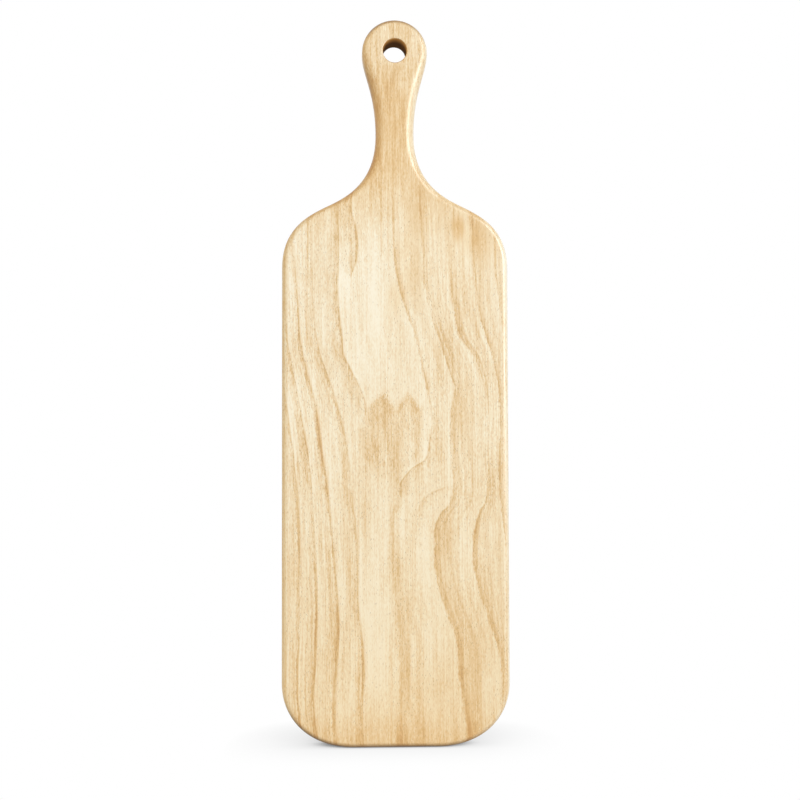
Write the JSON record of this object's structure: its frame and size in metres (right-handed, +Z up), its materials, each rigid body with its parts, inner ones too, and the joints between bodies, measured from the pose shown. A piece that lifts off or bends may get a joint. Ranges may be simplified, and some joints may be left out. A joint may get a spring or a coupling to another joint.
{
  "type": "serving board",
  "caption": "Long flat wooden serving board with rounded edges, round shoulders and a slim necked handle that ends in a round head with a hang hole.",
  "frame": {"origin": "middle of the underside: the board lies flat on the plane Z = 0", "axes": "+Z up through the thickness, +Y along the board towards the handle, +X across the blade to the right when the handle points away"},
  "size_m": [0.2, 0.642, 0.02],
  "materials": {
    "wood": "pale ash, sanded smooth and oiled to a satin, with the grain along the board"
  },
  "bodies": {
    "root": {"board": "wood"}
  },
  "joints": []
}
